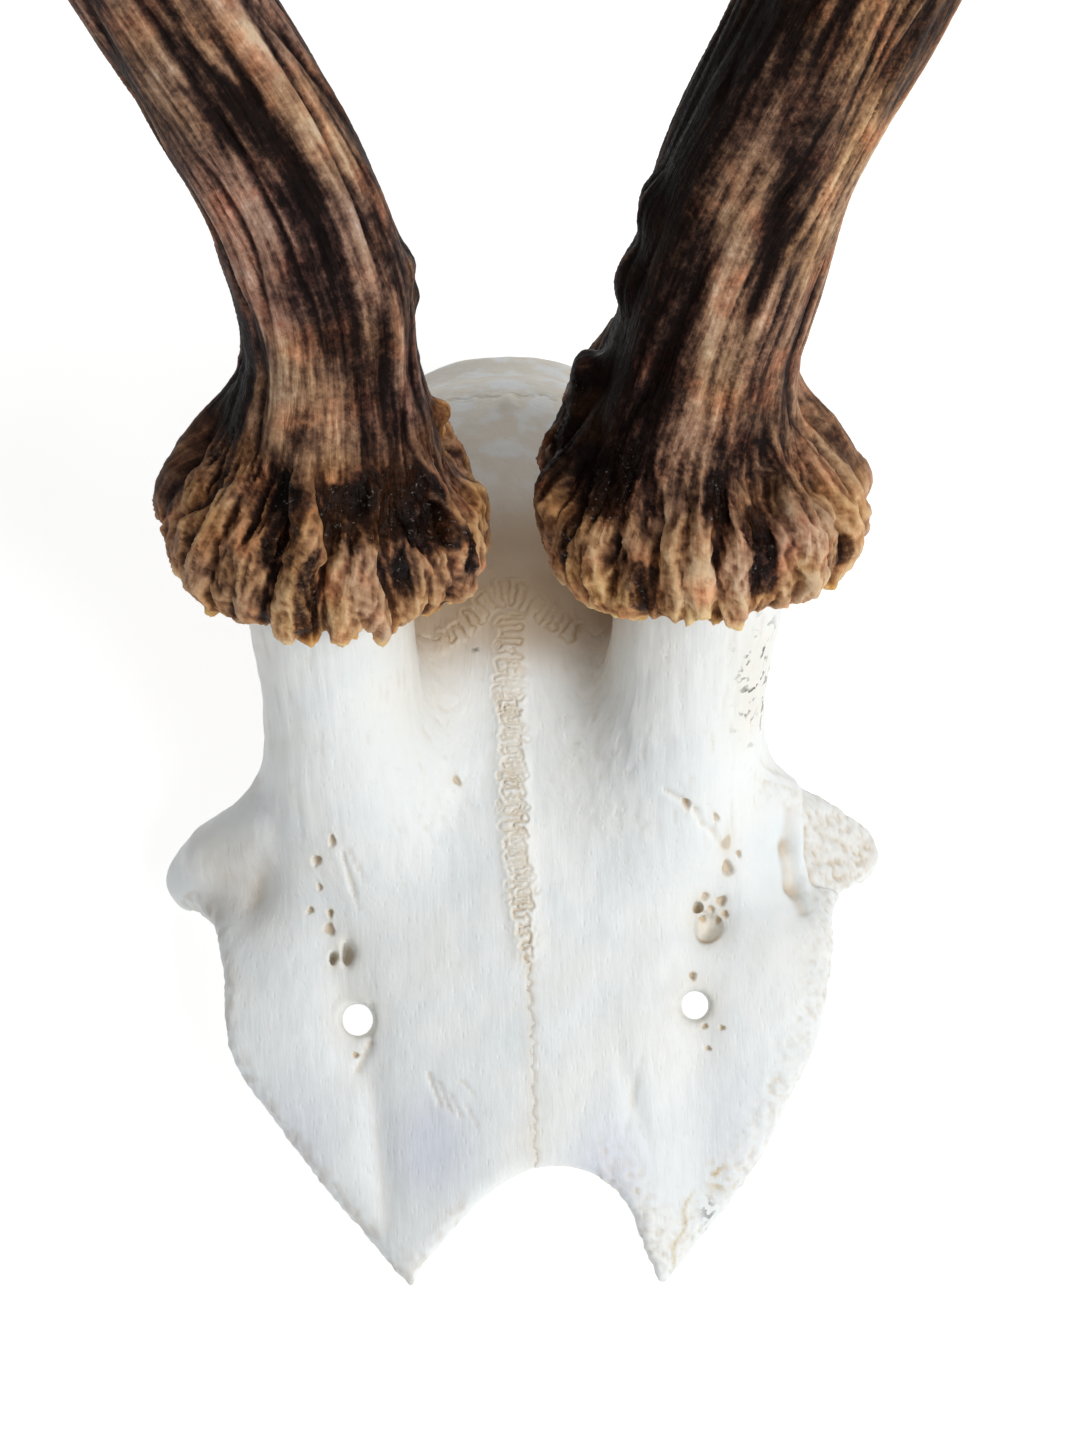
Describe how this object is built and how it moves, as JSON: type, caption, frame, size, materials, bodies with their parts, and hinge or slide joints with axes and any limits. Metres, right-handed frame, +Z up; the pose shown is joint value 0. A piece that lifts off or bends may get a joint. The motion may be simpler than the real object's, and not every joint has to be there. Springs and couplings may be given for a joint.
{
  "type": "roe deer skull cap with antlers",
  "caption": "Bleached skull cap of a mature roe buck, cut flat and hollow underneath, carrying two dark, furrowed, forked antlers on bony stems",
  "frame": {"origin": "centre of the base of the bounding box, on the plane that the cut rim rests on", "axes": "+Z up from the cut rim, the longest extent; -Y towards the nose and +Y towards the nape; +X towards the animal's own left, the shortest extent"},
  "size_m": [0.1343, 0.1692, 0.2362],
  "materials": {
    "bone": "bleached white bone, matt and faintly chalky, with cream sutures",
    "antler": "dark brown furrowed antler with tan ridges and near-black hollows, satin, paler worn tips"
  },
  "bodies": {
    "root": {"frontal_left": "bone", "frontal_right": "bone", "parietal": "bone", "occipital": "bone", "antler_left_beam": "antler", "antler_left_upper_beam": "antler", "antler_left_top_tine": "antler", "antler_left_front_tine": "antler", "antler_left_rear_tine": "antler", "antler_right_beam": "antler", "antler_right_upper_beam": "antler", "antler_right_top_tine": "antler", "antler_right_front_tine": "antler", "antler_right_rear_tine": "antler"}
  },
  "joints": []
}
